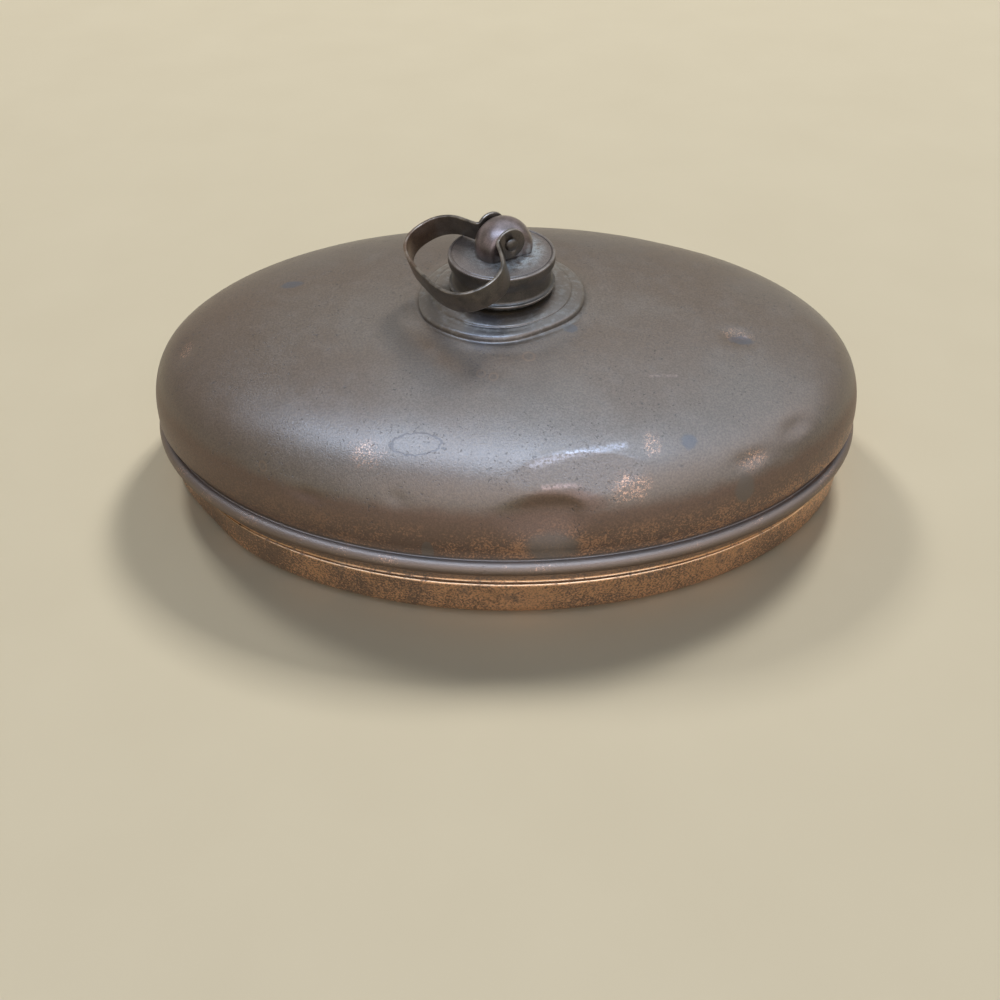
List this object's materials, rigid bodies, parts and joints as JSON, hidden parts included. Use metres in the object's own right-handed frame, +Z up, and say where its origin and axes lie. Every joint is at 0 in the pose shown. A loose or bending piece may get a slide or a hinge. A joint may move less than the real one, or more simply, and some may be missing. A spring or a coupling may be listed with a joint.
{
  "type": "hot water bottle",
  "caption": "Oval copper hot water bottle with a flat-based lower shell, a domed upper shell, a screw cap and a swinging bail.",
  "frame": {"origin": "on the base's underside, under the middle of the oval", "axes": "+X along the oval's length, +Y along its width away from the dented side, +Z up through the neck"},
  "size_m": [0.305, 0.212, 0.1123],
  "materials": {
    "dome_copper": "aged copper, brown-grey patina with a satin sheen",
    "base_copper": "aged copper, orange-brown with dark speckles",
    "cap_brass": "dark bronze-brown patina with worn edges",
    "boss_brass": "polished brown patina",
    "bail_brass": "dark bronze-brown patina with worn edges",
    "neck_brass": "dull brass",
    "solder": "dull grey",
    "washer_leather": "dark and compressed"
  },
  "bodies": {
    "bottle": {"lower_shell": "base_copper", "upper_shell": "dome_copper", "seam_solder": "solder", "neck": "neck_brass", "neck_solder": "solder"},
    "washer": {"gasket": "washer_leather"},
    "cap": {"cap": "cap_brass", "bail_boss": "boss_brass", "bail_pin": "bail_brass"},
    "bail": {"bail": "bail_brass"}
  },
  "joints": [
    {"name": "cap_lift", "type": "slide", "parent": "bottle", "child": "washer", "axis": [0, 0, 1], "range_m": [0, 0.0072]},
    {"name": "cap_spin", "type": "hinge", "parent": "washer", "child": "cap", "pos_m": [0, 0, 0.096], "axis": [0, 0, 1], "range_deg": [0, 1080]},
    {"name": "bail_swing", "type": "hinge", "parent": "cap", "child": "bail", "pos_m": [-0.00034, -0.0002, 0.1056], "axis": [-0.509, 0.8607, 0], "range_deg": [0, 214.1]}
  ],
  "couplings": [
    {"joint": "cap_lift", "follows": "cap_spin", "m_per_rad": 0.00038197}
  ]
}
